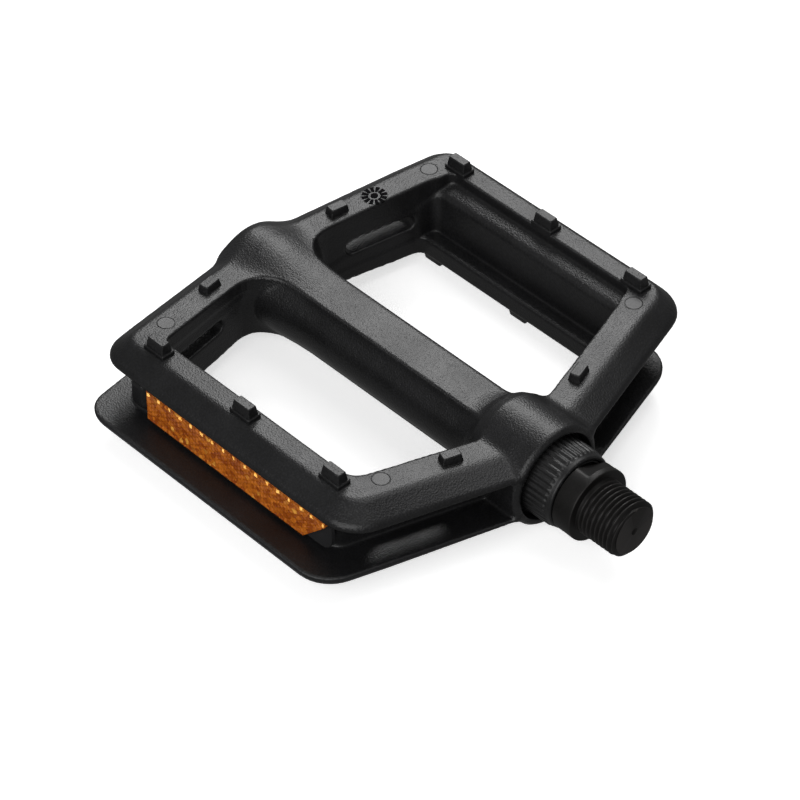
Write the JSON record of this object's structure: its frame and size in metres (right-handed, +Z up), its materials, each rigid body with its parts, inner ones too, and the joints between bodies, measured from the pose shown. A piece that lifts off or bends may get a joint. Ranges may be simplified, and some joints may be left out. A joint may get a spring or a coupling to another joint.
{
  "type": "flat pedal",
  "caption": "Moulded flat bicycle pedal with leaning side rims, grip pins, side reflectors and a ball-bearing spindle.",
  "frame": {"origin": "on the spindle axis, in the plane of the shoulder that seats on the crank arm", "axes": "+X along the spindle towards the crank arm, +Y towards the pedal's front edge, +Z up, square to the upper platform"},
  "size_m": [0.1291, 0.117, 0.0276],
  "materials": {
    "cage": "black moulded nylon with a fine spark-eroded grain",
    "sleeve": "black moulded plastic, ribbed",
    "seal": "black rubber",
    "bearing": "ground bearing steel",
    "balls": "polished bearing steel",
    "zinc": "zinc plated",
    "spindle": "black oxide steel, satin",
    "lens": "amber prismatic reflector",
    "tray": "black plastic"
  },
  "bodies": {
    "cage": {"pedal_body": "cage", "lock_sleeve": "sleeve", "inner_seal": "seal", "inner_cup": "bearing", "outer_cup": "bearing", "dust_cap": "cage", "reflector_lens_front": "lens", "reflector_lens_rear": "lens", "reflector_tray_front": "tray", "reflector_tray_rear": "tray"},
    "axle": {"spindle": "spindle", "outer_cone": "bearing", "keyed_washer": "zinc", "locknut": "zinc"},
    "inner_balls": {"inner_ball_01": "balls", "inner_ball_02": "balls", "inner_ball_03": "balls", "inner_ball_04": "balls", "inner_ball_05": "balls", "inner_ball_06": "balls", "inner_ball_07": "balls", "inner_ball_08": "balls", "inner_ball_09": "balls", "inner_ball_10": "balls"},
    "outer_balls": {"outer_ball_01": "balls", "outer_ball_02": "balls", "outer_ball_03": "balls", "outer_ball_04": "balls", "outer_ball_05": "balls", "outer_ball_06": "balls", "outer_ball_07": "balls", "outer_ball_08": "balls", "outer_ball_09": "balls", "outer_ball_10": "balls"}
  },
  "joints": [
    {"name": "spindle_spin", "type": "hinge", "parent": "cage", "child": "axle", "pos_m": [0, 0, 0], "axis": [1, 0, 0], "continuous": true},
    {"name": "inner_ball_orbit", "type": "hinge", "parent": "cage", "child": "inner_balls", "pos_m": [0, 0, 0], "axis": [1, 0, 0], "continuous": true},
    {"name": "outer_ball_orbit", "type": "hinge", "parent": "cage", "child": "outer_balls", "pos_m": [0, 0, 0], "axis": [1, 0, 0], "continuous": true}
  ],
  "couplings": [
    {"joint": "inner_ball_orbit", "follows": "spindle_spin", "ratio": 0.4112},
    {"joint": "outer_ball_orbit", "follows": "spindle_spin", "ratio": 0.4109}
  ]
}
